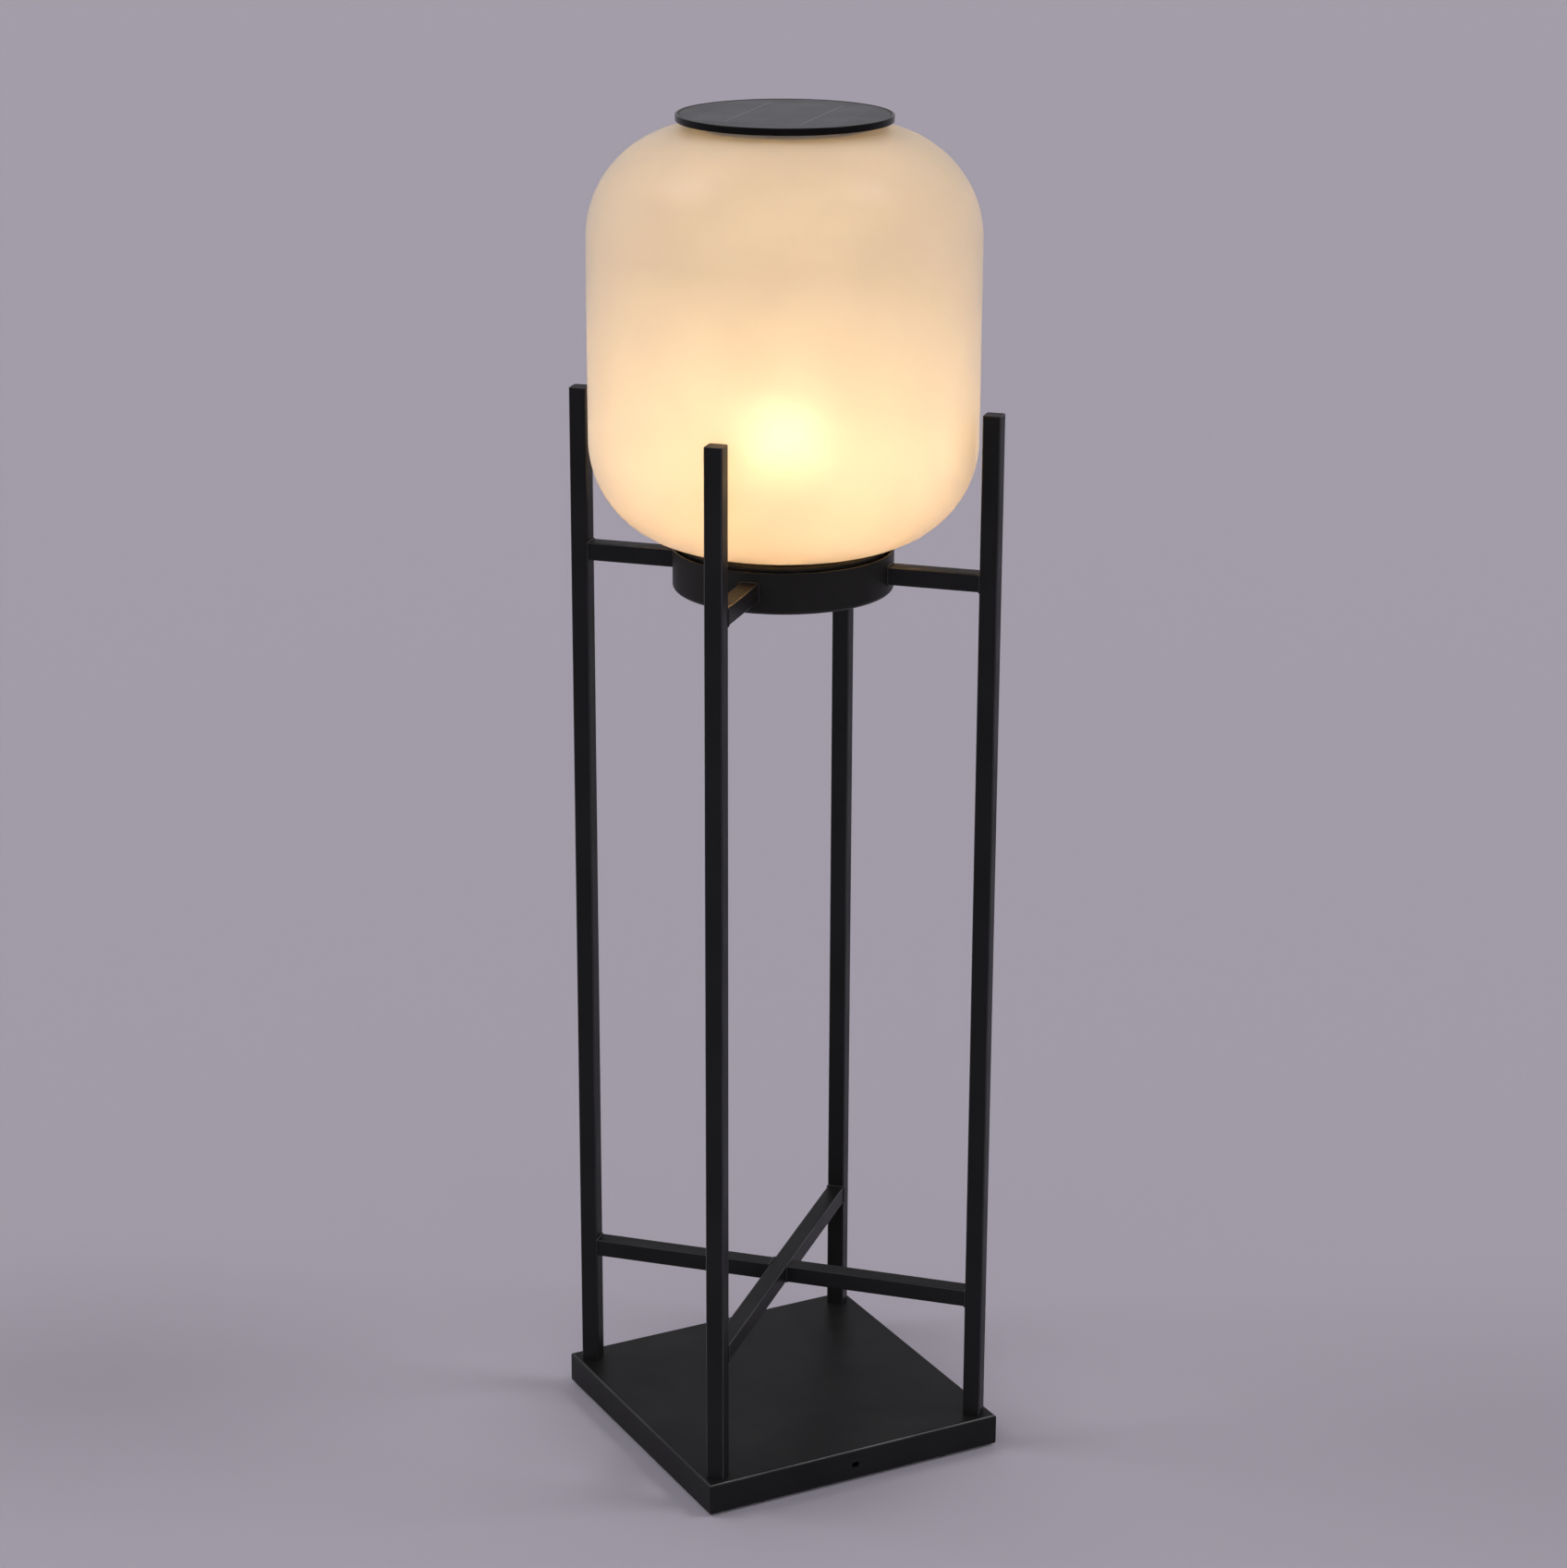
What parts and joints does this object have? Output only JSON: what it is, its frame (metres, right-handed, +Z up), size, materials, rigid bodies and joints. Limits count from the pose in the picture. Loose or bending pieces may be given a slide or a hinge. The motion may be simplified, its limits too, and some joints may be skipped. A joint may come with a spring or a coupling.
{
  "type": "floor lamp",
  "caption": "Lantern floor lamp: a frosted jar-shaped shade with a round solar panel lid, held in a cup between slim square posts on a square base.",
  "frame": {"origin": "middle of the base, on the floor", "axes": "+Z up; the base's sides lie along X and Y; the flange with the small slot faces -Y"},
  "size_m": [0.332, 0.3318, 1.193],
  "materials": {
    "black_powder_coat": "satin black powder coat, fine grain",
    "black_rubber": "matte",
    "raw_steel": "mill finish",
    "zinc_steel": "bright zinc",
    "black_plastic": "moulded, fine texture",
    "button_plastic": "soft dark grey cap",
    "battery_wrap": "shrink sleeve",
    "circuit_board": "solder mask",
    "brass": "bright",
    "white_wire": "insulation",
    "nickel_cap": "nickel plated",
    "white_plastic": "satin",
    "led_white": "white board with yellow chips",
    "opal_dome": "opal diffuser, lit",
    "frosted_shade": "frosted translucent white, lit warm from inside",
    "gloss_black": "gloss black",
    "solar_cell": "dark grey cell under a clear coat",
    "silver_ribbon": "tinned ribbon",
    "clear_silicone": "milky silicone"
  },
  "bodies": {
    "stand": {"base_pan": "black_powder_coat", "rubber_pads": "black_rubber", "ballast_plate": "raw_steel", "ballast_nuts": "zinc_steel", "base_bolts": "zinc_steel", "base_washers": "zinc_steel", "post_front": "black_powder_coat", "post_right": "black_powder_coat", "post_back": "black_powder_coat", "post_left": "black_powder_coat", "post_plugs": "raw_steel", "post_caps": "black_powder_coat", "brace_through": "black_powder_coat", "brace_left": "black_powder_coat", "brace_right": "black_powder_coat", "arm_front": "black_powder_coat", "arm_right": "black_powder_coat", "arm_back": "black_powder_coat", "arm_left": "black_powder_coat", "cup": "black_powder_coat", "gear_case": "black_plastic", "case_screws": "zinc_steel", "battery_tray": "black_plastic", "battery_cells": "battery_wrap", "controller_board": "circuit_board", "switch_body": "black_plastic", "switch_nut": "zinc_steel", "lampholder": "black_plastic", "holder_contacts": "brass", "holder_nipple": "zinc_steel", "nipple_nut": "zinc_steel", "lamp_leads": "white_wire", "seat_gasket": "black_rubber"},
    "button": {"button": "button_plastic"},
    "bulb": {"bulb_cap": "nickel_cap", "bulb_collar": "white_plastic", "led_board": "led_white", "bulb_dome": "opal_dome"},
    "shade": {"shade": "frosted_shade", "panel_lead": "white_wire", "lead_clips": "white_plastic", "lead_plugs": "white_plastic"},
    "lid": {"lid_dish": "gloss_black", "solar_panel": "solar_cell", "bus_lines": "silver_ribbon", "lid_seal": "clear_silicone", "junction_box": "black_plastic"}
  },
  "joints": [
    {"name": "shade_lift", "type": "slide", "parent": "stand", "child": "shade", "axis": [0, 0, 1], "range_m": [0, 0.165]},
    {"name": "lid_lift", "type": "slide", "parent": "shade", "child": "lid", "axis": [0, 0, 1], "range_m": [0, 0.06]},
    {"name": "bulb_out", "type": "slide", "parent": "stand", "child": "bulb", "axis": [0, 0, 1], "range_m": [0, 0.035]},
    {"name": "button_press", "type": "slide", "parent": "stand", "child": "button", "axis": [0, 0, 1], "range_m": [0, 0.0015], "stiffness_N_per_m": 150, "springref_m": -0.002}
  ]
}
